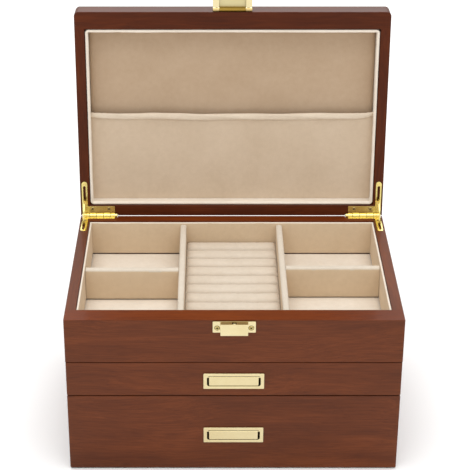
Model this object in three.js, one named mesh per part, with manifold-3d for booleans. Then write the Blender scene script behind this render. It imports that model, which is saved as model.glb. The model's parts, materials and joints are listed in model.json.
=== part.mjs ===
// Wooden jewelry box: lidded tray over two drawers, brass fittings, velvet linings.
// Millimetres, +Z up, front towards -Y. The origin is the centre of the base at the
// surface the box stands on. The model is exported with the lid open against its stop,
// the drawers shut and the hasp flap thrown back.
import * as THREE from 'three';
import { mergeVertices } from 'three/addons/utils/BufferGeometryUtils.js';
import Module from 'manifold-3d';

const wasm = await Module();
wasm.setup();

// ---------------------------------------------------------------- dimensions
const W = 300;                 // width over the side panels
const D = 208;                 // depth over the front and the back
const H = 157.6;               // height of the cabinet rim above the table
const LID_H = 24;              // lid height, rim to top
const RIM_GAP = 0.8;           // daylight between the two rims when shut
const LID_OPEN = 93.1;         // opening angle at the stop, degrees
const CLEAR = 0.3;             // assembly gap between touching pieces

const T_SIDE = 9.5;            // side panel thickness
const T_FRONT = 18.3;          // upper front panel thickness
const T_BACK = 11;             // back panel thickness
const T_DFRONT = 9.5;          // drawer front thickness

const Z_BODY = 1.0;            // underside of the carcase, above the base felt
const Z_UP_FRONT = 114.6;      // bottom edge of the upper front panel
const DRAWER1 = [79.4, 113.8]; // upper drawer front, bottom and top
const DRAWER2 = [0.8, 78.7];   // lower drawer front, bottom and top
const SHELF = [76.4, 79.2];    // shelf between the drawers
const TRAY_FLOOR = [116.0, 120.0];
const TRAY_BOTTOM = 122.5;     // velvet floor of the tray
const LINING_TOP = 156.4;      // top edge of the tray wall linings

const DIV_T = 6;               // long divider thickness
const DIV_X = [-47.6, 46.8];   // long divider centres
const DIV_TOP = 154.4;
const CROSS_T = 7;             // cross divider thickness
const CROSS_Y = [0.8, 4.7];    // cross divider centres, left and right
const CROSS_TOP = 153.2;

const ROLLS = 10;              // ring rolls
const ROLL_TOP = 137.5;
const ROLL_SLIT = 0.7;         // width of the slit between two rolls

const AXIS_OUT = 0;            // lid hinge axis, behind the back face
const AXIS_Y = D / 2 + AXIS_OUT;
const AXIS_Z = H + RIM_GAP / 2;
const BARREL_R = 2.5;
const PIN_R = 1.2;
const BORE_R = 1.27;
const LEAF_T = 1.6;            // hinge leaf thickness
const KN0 = 113.5, KN1 = 148.4; // barrel ends, from the middle of the box
const LOWER_BACK = 5.7, LOWER_ARM = 33.6;  // lower leaf, reach from the axis along back and side
const UPPER_BACK = 9.8, UPPER_ARM = 36;    // upper leaf
const STAY_R = [15.5, 18.5];   // stay strap, inner and outer radius
const STAY_T = 1.3;            // stay strap thickness
const STAY_X = 145.6;          // stay strap plane
const STAY_TUCK = 6;           // degrees of strap hidden below each rim when open
const STAY_RATIO = 0.5;        // strap turn per lid turn

const XK = 0;                  // centre of the clasp

// ---------------------------------------------------------------- helpers
const rad = (d) => d * Math.PI / 180;

function solid(geometry) {
  let g = geometry.clone();
  g.deleteAttribute('normal');
  g.deleteAttribute('uv');
  g = mergeVertices(g, 1e-4);
  return new wasm.Manifold(new wasm.Mesh({
    numProp: 3,
    vertProperties: new Float32Array(g.attributes.position.array),
    triVerts: new Uint32Array(g.index.array),
  }));
}

function surface(manifold) {
  const m = manifold.getMesh();
  const g = new THREE.BufferGeometry();
  g.setAttribute('position', new THREE.BufferAttribute(new Float32Array(m.vertProperties), 3));
  g.setIndex(new THREE.BufferAttribute(new Uint32Array(m.triVerts), 1));
  const flat = g.toNonIndexed();
  flat.computeVertexNormals();
  return flat;
}

function block(x0, x1, y0, y1, z0, z1) {
  const g = new THREE.BoxGeometry(x1 - x0, y1 - y0, z1 - z0);
  g.translate((x0 + x1) / 2, (y0 + y1) / 2, (z0 + z1) / 2);
  return solid(g);
}

function extrude(points, a, b, order, holes = []) {
  const shape = new THREE.Shape(points.map((p) => new THREE.Vector2(p[0], p[1])));
  for (const h of holes) shape.holes.push(new THREE.Path(h.map((p) => new THREE.Vector2(p[0], p[1]))));
  const g = new THREE.ExtrudeGeometry(shape, { depth: b - a, bevelEnabled: false, steps: 1 });
  g.translate(0, 0, a);
  const p = g.attributes.position;
  for (let i = 0; i < p.count; i++) {
    const u = p.getX(i), v = p.getY(i), w = p.getZ(i);
    if (order === 'x') p.setXYZ(i, w, u, v);        // points are (y, z)
    else if (order === 'y') p.setXYZ(i, v, w, u);   // points are (z, x)
    else p.setXYZ(i, u, v, w);                      // points are (x, y)
  }
  return solid(g);
}
const alongX = (points, x0, x1) => extrude(points, x0, x1, 'x');
const alongY = (points, y0, y1) => extrude(points, y0, y1, 'y');
const alongZ = (points, z0, z1, holes) => extrude(points, z0, z1, 'z', holes);

function circle(cx, cy, r, n = 16, turn = 0) {
  const out = [];
  for (let i = 0; i < n; i++) {
    const a = 2 * Math.PI * (i + turn) / n;
    out.push([cx + r * Math.cos(a), cy + r * Math.sin(a)]);
  }
  return out;
}

// Ring sector about (0, 0): angles in degrees from -Y towards +Z, as (y, z) points.
function sector(r0, r1, a0, a1, steps) {
  const out = [];
  for (let i = 0; i <= steps; i++) {
    const a = rad(a0 + (a1 - a0) * i / steps);
    out.push([-r1 * Math.cos(a), r1 * Math.sin(a)]);
  }
  for (let i = steps; i >= 0; i--) {
    const a = rad(a0 + (a1 - a0) * i / steps);
    out.push([-r0 * Math.cos(a), r0 * Math.sin(a)]);
  }
  return out;
}

const flipX = (m) => m.mirror([1, 0, 0]);

const FINISH = {
  walnut: { color: 0x6d4030, roughness: 0.42, metalness: 0 },
  walnut_inner: { color: 0x5a3424, roughness: 0.55, metalness: 0 },
  brass: { color: 0xe6d08a, roughness: 0.22, metalness: 1 },
  velvet: { color: 0xd9c3a8, roughness: 0.95, metalness: 0 },
  felt: { color: 0x2c211c, roughness: 0.98, metalness: 0 },
  steel: { color: 0xc9bd92, roughness: 0.3, metalness: 1 },
};
function piece(parent, name, manifold, finish) {
  const material = new THREE.MeshStandardMaterial({ ...FINISH[finish] });
  const mesh = new THREE.Mesh(surface(manifold), material);
  mesh.name = name;
  parent.add(mesh);
  return mesh;
}

// ---------------------------------------------------------------- hinge shapes
// Built for the right-hand side in a frame whose origin is the hinge axis; the leaf
// lies in z from z0 to z1. owner 0 takes the odd knuckles, owner 1 the even ones.
const KNUCKLES = 5;
const KN_GAP = 0.2;
function knuckleSpan(i) {
  const step = (KN1 - KN0) / KNUCKLES;
  return [KN0 + i * step + KN_GAP / 2, KN0 + (i + 1) * step - KN_GAP / 2];
}
function leaf(owner, z0, z1, backWidth, armX0, armX1, armEnd, slot, bore) {
  const c = (armX0 + armX1) / 2, r = (armX1 - armX0) / 2;
  const arc = [];
  for (let i = 0; i <= 8; i++) {
    const a = Math.PI * i / 8;
    arc.push([c + r * Math.cos(a), -armEnd + r - r * Math.sin(a)]);
  }
  const outline = [[116, -BARREL_R - 0.3], [116, -backWidth], [armX0, -backWidth],
    ...arc.reverse(), [armX1, -BARREL_R - 0.3]];
  let m = alongZ(outline, z0, z1);
  m = m.subtract(block(STAY_X - 1.2, STAY_X + 1.2, -slot[1], -slot[0], z0 - 1, z1 + 1));
  for (const [x, y] of bore) m = m.subtract(alongZ(circle(x, y, 1.5, 12), z0 - 1, z1 + 1));
  for (let i = 0; i < KNUCKLES; i++) {
    if (i % 2 !== owner) continue;
    const [x0, x1] = knuckleSpan(i);
    const zIn = Math.min(Math.max(0, z0), z1);
    const tongueX0 = Math.max(x0, 116);
    m = m.add(block(tongueX0, Math.min(x1, armX1), -BARREL_R - 0.6, zIn === z0 ? 0 : 0, z0, z1));
    m = m.add(alongX(circle(0, 0, BARREL_R, 20, 0.5), x0, x1));
  }
  return m.subtract(alongX(circle(0, 0, BORE_R, 12, 0.5), KN0 - 5, KN1 + 5));
}

// Recess for a leaf, its barrel and its strap, in the wood; sign +1 is the lid.
function hingeRecess(sign, backWidth, armX0, armX1, armEnd) {
  const zr = RIM_GAP / 2;
  const depth = zr + LEAF_T + CLEAR;
  const z0 = sign > 0 ? -1 : -depth, z1 = sign > 0 ? depth : 1;
  const g = CLEAR;
  const c = (armX0 + armX1) / 2, r = (armX1 - armX0) / 2 + g;
  const arc = [];
  for (let i = 0; i <= 8; i++) {
    const a = Math.PI * i / 8;
    arc.push([c + r * Math.cos(a), -armEnd + (armX1 - armX0) / 2 - r * Math.sin(a)]);
  }
  let m = alongZ([[116 - g, 1], [116 - g, -backWidth - g], [armX0 - g, -backWidth - g],
    ...arc.reverse(), [armX1 + g, 1]], z0, z1);
  const b = BARREL_R + 0.4;
  const zb0 = sign > 0 ? -1 : -b, zb1 = sign > 0 ? b : 1;
  m = m.add(block(KN0 - 0.5, KN1 + 0.5, -b, 6, zb0, zb1));
  return m;
}
function stayRecess(a0, a1) {
  return alongX(sector(STAY_R[0] - 0.5, STAY_R[1] + 0.4, a0, a1, 12), STAY_X - 1.0, STAY_X + 1.0);
}
const bothSides = (make) => ({ right: make(), left: flipX(make()) });

const stayLid = LID_OPEN + STAY_TUCK - LID_OPEN * STAY_RATIO; // strap inside the lid when shut
const stayBox = STAY_TUCK + LID_OPEN * STAY_RATIO;            // strap inside the cabinet when shut

// ---------------------------------------------------------------- cabinet
const box = new THREE.Group();
const cabinet = new THREE.Group();
box.add(cabinet);

const xi = W / 2 - T_SIDE;             // inner face of a side panel
const yf = -D / 2;                     // front plane
const yb = D / 2 - T_BACK;             // inner face of the back panel
const ySide = yf + T_DFRONT + CLEAR;   // front edge of the side panels
const yUp = yf + T_FRONT;              // back face of the upper front panel

const leafLower = () => leaf(0, -RIM_GAP / 2 - LEAF_T, -RIM_GAP / 2, LOWER_BACK, 142.4, 148.2, LOWER_ARM,
  [14.9, 30.2], [[145.3, -10.5]]);
const leafUpper = () => leaf(1, RIM_GAP / 2, RIM_GAP / 2 + LEAF_T, UPPER_BACK, 142.6, 148.4, UPPER_ARM,
  [14.9, 31.2], [[121.9, -7.0], [138.1, -7.0]]);

{
  const profile = [[ySide, Z_BODY], [D / 2, Z_BODY], [D / 2, H], [yUp + CLEAR, H],
    [yUp + CLEAR, Z_UP_FRONT - CLEAR], [ySide, Z_UP_FRONT - CLEAR]];
  const right = () => {
    let m = alongX(profile, xi, W / 2);
    m = m.subtract(hingeRecess(-1, LOWER_BACK, 142.4, 148.2, LOWER_ARM).translate([0, AXIS_Y, AXIS_Z]));
    return m.subtract(stayRecess(-(stayBox + 2.5), 3).translate([0, AXIS_Y, AXIS_Z]));
  };
  piece(cabinet, 'side_panel_right', right(), 'walnut');
  piece(cabinet, 'side_panel_left', flipX(right()), 'walnut');
}

{
  let m = block(-W / 2, W / 2, yf, yUp, Z_UP_FRONT, H);
  for (const x of [-15, 15]) m = m.subtract(alongY(circle(150.4, XK + x, 1.4, 12), yf - 1, yf + 8.5));
  piece(cabinet, 'upper_front_panel', m, 'walnut');
}
{
  let m = block(-xi + CLEAR, xi - CLEAR, yb, D / 2, Z_BODY, H);
  const recess = hingeRecess(-1, LOWER_BACK, 142.4, 148.2, LOWER_ARM).translate([0, AXIS_Y, AXIS_Z]);
  m = m.subtract(recess).subtract(flipX(recess));
  piece(cabinet, 'back_panel', m, 'walnut');
}
piece(cabinet, 'tray_floor_panel', block(-xi + CLEAR, xi - CLEAR, yUp + CLEAR, yb - CLEAR, ...TRAY_FLOOR), 'walnut_inner');
piece(cabinet, 'drawer_divider_panel', block(-xi + CLEAR, xi - CLEAR, ySide, yb - CLEAR, ...SHELF), 'walnut_inner');
piece(cabinet, 'base_panel', block(-xi + CLEAR, xi - CLEAR, ySide, yb - CLEAR, Z_BODY, Z_BODY + 5), 'walnut_inner');
piece(cabinet, 'base_felt', block(-146, 146, -90, 100, 0, Z_BODY - CLEAR), 'felt');

// tray linings
const LIN_T = 1.8;
const lx = xi - CLEAR - LIN_T;                  // inner face of the side linings
const ly0 = yUp + CLEAR + LIN_T;                // inner face of the front lining
const ly1 = yb - CLEAR - LIN_T;                 // inner face of the back lining
const zl = TRAY_BOTTOM + CLEAR;
piece(cabinet, 'tray_lining_floor', block(-xi + CLEAR, xi - CLEAR, yUp + CLEAR, yb - CLEAR, TRAY_FLOOR[1] + CLEAR, TRAY_BOTTOM), 'velvet');
piece(cabinet, 'tray_lining_front', block(-xi + CLEAR, xi - CLEAR, yUp + CLEAR, ly0, zl, LINING_TOP), 'velvet');
piece(cabinet, 'tray_lining_back', block(-xi + CLEAR, xi - CLEAR, ly1, yb - CLEAR, zl, LINING_TOP), 'velvet');
piece(cabinet, 'tray_lining_left', block(-xi + CLEAR, -lx, ly0 + CLEAR, ly1 - CLEAR, zl, LINING_TOP), 'velvet');
piece(cabinet, 'tray_lining_right', block(lx, xi - CLEAR, ly0 + CLEAR, ly1 - CLEAR, zl, LINING_TOP), 'velvet');

// dividers
const dl = [DIV_X[0] - DIV_T / 2, DIV_X[0] + DIV_T / 2];
const dr = [DIV_X[1] - DIV_T / 2, DIV_X[1] + DIV_T / 2];
piece(cabinet, 'divider_left', block(dl[0], dl[1], ly0 + CLEAR, ly1 - CLEAR, zl, DIV_TOP), 'velvet');
piece(cabinet, 'divider_right', block(dr[0], dr[1], ly0 + CLEAR, ly1 - CLEAR, zl, DIV_TOP), 'velvet');
piece(cabinet, 'cross_divider_left', block(-lx + CLEAR, dl[0] - CLEAR, CROSS_Y[0] - CROSS_T / 2, CROSS_Y[0] + CROSS_T / 2, zl, CROSS_TOP), 'velvet');
piece(cabinet, 'cross_divider_right', block(dr[1] + CLEAR, lx - CLEAR, CROSS_Y[1] - CROSS_T / 2, CROSS_Y[1] + CROSS_T / 2, zl, CROSS_TOP), 'velvet');

// ring rolls: one foam cushion, slit across so that rings stand between the rolls
{
  const y0 = ly0 + CLEAR, y1 = ly1 - CLEAR;
  const pitch = (y1 - y0) / ROLLS;
  const z0 = 125.0, h = ROLL_TOP - z0;
  const pts = [[y1, zl], [y1, z0]];
  for (let i = ROLLS - 1; i >= 0; i--) {
    const yc = y0 + pitch * (i + 0.5), a = pitch / 2 - ROLL_SLIT / 2;
    for (let k = 0; k <= 8; k++) {
      const t = Math.PI * k / 8, c = Math.cos(t), s = Math.sin(t);
      pts.push([yc + a * Math.sign(c) * Math.abs(c) ** 0.75, z0 + h * Math.max(0, s) ** 0.75 + (k === 0 || k === 8 ? 0.001 : 0)]);
    }
  }
  pts.push([y0, z0], [y0, zl]);
  piece(cabinet, 'ring_roll_cushion', alongX(pts, dl[1] + CLEAR, dr[0] - CLEAR), 'velvet');
}

// ---------------------------------------------------------------- hinges, cabinet side
{
  const m = leafLower().translate([0, AXIS_Y, AXIS_Z]);
  piece(cabinet, 'hinge_leaf_lower_right', m, 'brass');
  piece(cabinet, 'hinge_leaf_lower_left', flipX(m), 'brass');
  const pin = alongX(circle(0, 0, PIN_R, 12, 0.5), KN0 - 0.2, KN1 + 0.2).translate([0, AXIS_Y, AXIS_Z]);
  piece(cabinet, 'hinge_pin_right', pin, 'brass');
  piece(cabinet, 'hinge_pin_left', flipX(pin), 'brass');
}

// ---------------------------------------------------------------- clasp keeper
const KEEP = { ear: 19, half: 12.2, z0: 145.3, z1: 156.6, earZ0: 145.7, earZ1: 156.9, out: 6.3, t: 0.9, earT: 1.0 };
{
  const yBack = yf - CLEAR;
  let m = block(XK - KEEP.ear, XK + KEEP.ear, yBack - KEEP.earT, yBack, KEEP.earZ0, KEEP.earZ1);
  m = m.subtract(block(XK - KEEP.half + KEEP.t, XK + KEEP.half - KEEP.t, yBack - 5, yBack + 1, KEEP.z0 + KEEP.t, KEEP.z1 - KEEP.t));
  const shell = block(XK - KEEP.half, XK + KEEP.half, yf - KEEP.out, yBack, KEEP.z0, KEEP.z1)
    .subtract(block(XK - KEEP.half + KEEP.t, XK + KEEP.half - KEEP.t, yf - KEEP.out + KEEP.t, yBack + 1, KEEP.z0 + KEEP.t, KEEP.z1 - KEEP.t));
  m = m.add(shell);
  m = m.subtract(block(XK - 2.6, XK + 2.6, yf - KEEP.out - 1, yf - KEEP.out + 4.6, KEEP.z1 - 3.4, KEEP.z1 + 1));
  for (const x of [-15, 15]) m = m.subtract(alongY(circle(150.4, XK + x, 1.4, 12), yf - 3, yf + 1));
  piece(cabinet, 'latch_keeper', m, 'brass');
  const nub = alongX([[yf - 5.1, 148.5], [yf - 0.35, 148.5], [yf - 0.35, 151.5], [yf - 3.4, 151.5],
    [yf - 3.4, 155.8], [yf - 4.3, 156.4], [yf - 5.1, 155.4]], XK - 1.9, XK + 1.9);
  piece(cabinet, 'latch_catch_nub', nub, 'brass');
  const screw = (x) => {
    const y = yBack - KEEP.earT - 0.05;
    let s = alongY(circle(150.4, XK + x, 2.1, 16), y - 0.7, y);
    s = s.add(alongY(circle(150.4, XK + x, 1.7, 16), y - 1.05, y - 0.6));
    s = s.add(alongY(circle(150.4, XK + x, 1.15, 12), y - 0.1, yf + 8));
    s = s.subtract(block(XK + x - 1.2, XK + x + 1.2, y - 2, y - 0.45, 150.4 - 0.28, 150.4 + 0.28));
    return s.subtract(block(XK + x - 0.28, XK + x + 0.28, y - 2, y - 0.45, 150.4 - 1.2, 150.4 + 1.2));
  };
  piece(cabinet, 'keeper_screw_left', screw(-15), 'steel');
  piece(cabinet, 'keeper_screw_right', screw(15), 'steel');
}

// ---------------------------------------------------------------- drawers
const PULL = { half: 27.2, h: 15.9, openHalf: 24, openH: 10.2, flange: 1.0, cup: 0.7, depth: 3.6, tabHalf: 22.2 };
function drawer(name, zf, zbox, zPull) {
  const g = new THREE.Group();
  box.add(g);
  const [zf0, zf1] = zf, [zb0, zb1] = zbox;
  const xo = xi - 0.8, t = 7.5;
  const y0 = yf + T_DFRONT + CLEAR, y1 = 90;
  // front with the pocket for the pull
  let front = block(-W / 2, W / 2, yf, yf + T_DFRONT, zf0, zf1);
  front = front.subtract(block(-PULL.openHalf - 1.1, PULL.openHalf + 1.1, yf - 1, yf + PULL.depth + 1.1,
    zPull - PULL.openH / 2 - 1.1, zPull + PULL.openH / 2 + 1.1));
  piece(g, `${name}_front`, front, 'walnut');
  piece(g, `${name}_side_left`, block(-xo, -xo + t, y0, y1, zb0, zb1), 'walnut_inner');
  piece(g, `${name}_side_right`, block(xo - t, xo, y0, y1, zb0, zb1), 'walnut_inner');
  piece(g, `${name}_back`, block(-xo + t + CLEAR, xo - t - CLEAR, y1 - t, y1, zb0 + 4.4, zb1), 'walnut_inner');
  piece(g, `${name}_bottom`, block(-xo + t + CLEAR, xo - t - CLEAR, y0, y1, zb0 + 1, zb0 + 4), 'walnut_inner');
  const lx0 = -xo + t + CLEAR, lx1 = xo - t - CLEAR, ly2 = y1 - t - CLEAR, lz0 = zb0 + 4.4, lz1 = zb1 - 1.5;
  const liner = block(lx0, lx1, y0, ly2, lz0, lz1)
    .subtract(block(lx0 + 1.5, lx1 - 1.5, y0 + 1.5, ly2 - 1.5, lz0 + 1.8, lz1 + 1));
  piece(g, `${name}_lining`, liner, 'velvet');
  // pull: flange and cup in one pressing
  const yBack = yf - CLEAR, yFl = yBack - PULL.flange;
  const oh = PULL.openHalf, ov = PULL.openH / 2;
  let frame = block(-PULL.half, PULL.half, yFl, yBack, zPull - PULL.h / 2, zPull + PULL.h / 2)
    .add(block(-oh - PULL.cup, oh + PULL.cup, yFl, yf + PULL.depth, zPull - ov - PULL.cup, zPull + ov + PULL.cup));
  frame = frame.subtract(block(-oh, oh, yFl - 1, yf + PULL.depth - PULL.cup, zPull - ov, zPull + ov));
  const ay = yf + 0.4, az = zPull + 3.3;    // tab axis
  frame = frame.subtract(alongX(circle(ay, az, 0.75, 12, 0.5), -oh - 2, oh + 2));
  piece(g, `${name}_pull_frame`, frame, 'brass');
  piece(g, `${name}_pull_pin`, alongX(circle(ay, az, 0.65, 12, 0.5), -oh - PULL.cup, oh + PULL.cup), 'brass');
  // tab: rolled round the pin along its top edge
  let tab = alongX(circle(ay, az, 1.5, 16, 0.5), -PULL.tabHalf, PULL.tabHalf)
    .add(block(-PULL.tabHalf, PULL.tabHalf, ay - 1.48, ay - 0.3, zPull - ov + 0.35, az));
  tab = tab.subtract(alongX(circle(ay, az, 0.75, 12, 0.5), -oh, oh));
  piece(g, `${name}_pull_tab`, tab, 'brass');
}
drawer('upper_drawer', DRAWER1, [79.9, 111.0], 95.3);
drawer('lower_drawer', DRAWER2, [6.6, 72.0], 37.8);

// ---------------------------------------------------------------- lid
// Modelled shut, from the hinge axis, then swung open about it.
const lid = new THREE.Group();
lid.position.set(0, AXIS_Y, AXIS_Z);
lid.rotation.x = -rad(LID_OPEN);
box.add(lid);

const z0 = RIM_GAP / 2;                // lid rim
const zTop = z0 + LID_H;
const T_TOP = 5;
const zRail = zTop - T_TOP - CLEAR;    // top of the rails
const L_FRONT = 17, L_BACK = 11, L_SIDE = 9.6;
const LB = -AXIS_OUT, LF = -AXIS_OUT - D;   // back and front faces
{
  const r = 4.2, n = 5, edge = [];
  for (let i = 0; i <= n; i++) {
    const a = Math.PI / 2 * i / n;
    edge.push([r - r * Math.cos(a), r * Math.sin(a)]);  // in from the side, up
  }
  const up = zTop - r;
  const px = [[zTop - T_TOP, -W / 2], ...edge.map(([i, u]) => [up + u, -W / 2 + i]),
    ...edge.slice().reverse().map(([i, u]) => [up + u, W / 2 - i]), [zTop - T_TOP, W / 2]];
  const py = [[LF, zTop - T_TOP], ...edge.map(([i, u]) => [LF + i, up + u]),
    ...edge.slice().reverse().map(([i, u]) => [LB - i, up + u]), [LB, zTop - T_TOP]];
  const m = alongY(px, LF - 1, LB + 1).intersect(alongX(py, -W / 2 - 1, W / 2 + 1));
  piece(lid, 'lid_top_panel', m, 'walnut');
}
{
  let m = block(-W / 2, W / 2, LF, LF + L_FRONT, z0, zRail);
  piece(lid, 'lid_front_rail', m, 'walnut');
  const recess = hingeRecess(1, UPPER_BACK, 142.6, 148.4, UPPER_ARM);
  m = block(-W / 2 + L_SIDE + CLEAR, W / 2 - L_SIDE - CLEAR, LB - L_BACK, LB, z0, zRail);
  piece(lid, 'lid_back_rail', m.subtract(recess).subtract(flipX(recess)), 'walnut');
  m = block(W / 2 - L_SIDE, W / 2, LF + L_FRONT + CLEAR, LB, z0, zRail)
    .subtract(recess).subtract(stayRecess(-3, stayLid + 2));
  piece(lid, 'lid_side_rail_right', m, 'walnut');
  piece(lid, 'lid_side_rail_left', flipX(m), 'walnut');
}
// lining: a rolled lip round the opening and a pad over the panel
const lipX = W / 2 - L_SIDE - CLEAR, lipY0 = LF + L_FRONT + CLEAR, lipY1 = LB - L_BACK - CLEAR;
const LIP_T = 2;
const Z_PAD = [16.8, 19.0];
piece(lid, 'lid_lining_lip', block(-lipX, lipX, lipY0, lipY1, z0 + 0.6, 19.0)
  .subtract(block(-lipX + LIP_T, lipX - LIP_T, lipY0 + LIP_T, lipY1 - LIP_T, -5, 30)), 'velvet');
piece(lid, 'lid_lining_pad', block(-lipX + LIP_T + CLEAR, lipX - LIP_T - CLEAR, lipY0 + LIP_T + CLEAR, lipY1 - LIP_T - CLEAR, ...Z_PAD), 'velvet');
// elastic pocket: a sheet across the lower half of the open lid, with a rolled hem
{
  const s0 = -lipY1 + LIP_T + CLEAR, s1 = 105;
  const back = (s) => 13.8 - (s - s0) * Math.tan(rad(3.1));
  const pts = [[-s0, back(s0)], [-s1, back(s1)], [-s1 - 0.4, back(s1) - 1.2], [-s1, back(s1) - 2.6],
    [-s1 + 4.2, back(s1) - 3.1], [-s1 + 8.6, back(s1) - 2.4], [-s1 + 9.4, back(s1 - 9.4) - 1.2], [-s0, back(s0) - 1.2]];
  piece(lid, 'lid_pocket', alongX(pts, -lipX + LIP_T + CLEAR, lipX - LIP_T - CLEAR), 'velvet');
}
{
  const m = leafUpper();
  piece(lid, 'hinge_leaf_upper_right', m, 'brass');
  piece(lid, 'hinge_leaf_upper_left', flipX(m), 'brass');
}

// ---------------------------------------------------------------- stays
// Quadrant straps that slide in both leaves; modelled in place for the open lid.
{
  const stays = new THREE.Group();
  stays.position.set(0, AXIS_Y, AXIS_Z);
  box.add(stays);
  const m = alongX(sector(STAY_R[0], STAY_R[1], -STAY_TUCK, LID_OPEN + STAY_TUCK, 20), STAY_X - STAY_T / 2, STAY_X + STAY_T / 2);
  piece(stays, 'lid_stay_right', m, 'brass');
  piece(stays, 'lid_stay_left', flipX(m), 'brass');
}

// ---------------------------------------------------------------- hasp
const HASP = { half: 18.6, axisY: LF - 1.9, axisZ: 1.8, r: 1.6, knHalf: 12.6, rest: 12, len: 17.2, cover: 13.6, inner: 12.8, w: 6.5, t: 0.9 };
{
  const yA = HASP.axisY, zA = HASP.axisZ;
  let m = block(XK - HASP.half, XK + HASP.half, LF - CLEAR - 1.0, LF - CLEAR, zA - 0.2, 14);
  for (const s of [-1, 1]) {
    const a = XK + s * (HASP.knHalf + 0.15), b = XK + s * HASP.half;
    m = m.add(alongX(circle(yA, zA, HASP.r, 16, 0.5), Math.min(a, b), Math.max(a, b)));
  }
  m = m.subtract(block(XK - HASP.knHalf - 0.15, XK + HASP.knHalf + 0.15, yA - 3, yA + HASP.r + 0.25, zA - 3, zA + HASP.r + 0.3));
  m = m.subtract(alongX(circle(yA, zA, 0.78, 12, 0.5), XK - 30, XK + 30));
  for (const x of [-15, 15]) m = m.subtract(alongY(circle(9.4, XK + x, 1.4, 12), LF - 3, LF + 1));
  piece(lid, 'hasp_plate', m, 'brass');
  piece(lid, 'hasp_pin', alongX(circle(yA, zA, 0.7, 12, 0.5), XK - HASP.half, XK + HASP.half), 'brass');

  const flap = new THREE.Group();
  flap.position.set(0, yA, zA);
  flap.rotation.x = -rad(HASP.rest);
  lid.add(flap);
  // plate runs along -Y from the axis; the cover stands on its +Z side
  let f = block(XK - HASP.half, XK + HASP.half, -HASP.len, -2.1, 0.7, 1.6)
    .add(block(XK - HASP.knHalf, XK + HASP.knHalf, -2.6, 0, 0.7, 1.6))
    .add(alongX(circle(0, 0, HASP.r, 16, 0.5), XK - HASP.knHalf, XK + HASP.knHalf))
    .add(block(XK - HASP.cover, XK + HASP.cover, -HASP.len, -2.1, 0.7, HASP.w));
  f = f.subtract(block(XK - HASP.inner, XK + HASP.inner, -HASP.len + 1.1, -2.9, -3, HASP.w - HASP.t));
  f = f.subtract(alongX(circle(0, 0, 0.78, 12, 0.5), XK - 30, XK + 30));
  piece(flap, 'hasp_flap', f, 'brass');
}

export default box;
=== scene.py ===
import bpy, bmesh, json, math
import numpy as np
from mathutils import Vector, Matrix, noise


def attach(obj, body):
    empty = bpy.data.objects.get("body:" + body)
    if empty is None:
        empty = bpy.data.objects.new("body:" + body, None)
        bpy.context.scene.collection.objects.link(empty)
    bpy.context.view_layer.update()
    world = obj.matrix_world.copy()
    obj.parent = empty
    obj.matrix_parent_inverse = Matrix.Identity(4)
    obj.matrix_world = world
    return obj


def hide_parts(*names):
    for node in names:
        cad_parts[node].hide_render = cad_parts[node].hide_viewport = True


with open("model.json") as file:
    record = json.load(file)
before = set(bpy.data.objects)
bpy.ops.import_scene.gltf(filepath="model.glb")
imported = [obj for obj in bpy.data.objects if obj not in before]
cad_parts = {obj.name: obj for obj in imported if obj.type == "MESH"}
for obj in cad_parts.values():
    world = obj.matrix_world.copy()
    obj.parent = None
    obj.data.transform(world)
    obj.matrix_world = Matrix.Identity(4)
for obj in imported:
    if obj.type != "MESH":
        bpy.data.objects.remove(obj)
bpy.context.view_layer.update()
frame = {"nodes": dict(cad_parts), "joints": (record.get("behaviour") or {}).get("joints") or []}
scene = bpy.context.scene
MM = 0.001
rad = math.radians

# ------------------------------------------------------------------ places from the frame
joints = {j["name"]: j for j in frame["joints"]}
AX = Vector(joints["lid_hinge"]["pos_m"])
OPEN = rad(joints["lid_hinge"]["range_deg"][1])
LIDM = Matrix.Translation(AX) @ Matrix.Rotation(-OPEN, 4, 'X')       # lid modelled shut, from its axis
HAX = Vector(joints["hasp_hinge"]["pos_m"])
FLAPM = Matrix.Translation(HAX) @ Matrix.Rotation(-OPEN - rad(12), 4, 'X')
AXM = Matrix.Translation(AX)
AY, AZ = AX.y / MM, AX.z / MM


def mmbox(node, M=None):
    """A node's box in mm, in the row frame or in M's frame."""
    inv = M.inverted() if M is not None else Matrix.Identity(4)
    co = np.array([inv @ v.co for v in frame["nodes"][node].data.vertices]) / MM
    lo, hi = co.min(0), co.max(0)
    return [float(v) for p in zip(lo, hi) for v in p]                # x0 x1 y0 y1 z0 z1


def wob(a, b=0.0, c=0.0):
    return noise.noise(Vector((a + 11.3, b + 4.7, c + 7.1)))


# ------------------------------------------------------------------ materials
def srgb(r, g, b):
    def f(c):
        c /= 255.0
        return c / 12.92 if c <= 0.04045 else ((c + 0.055) / 1.055) ** 2.4
    return (f(r), f(g), f(b), 1.0)


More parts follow.
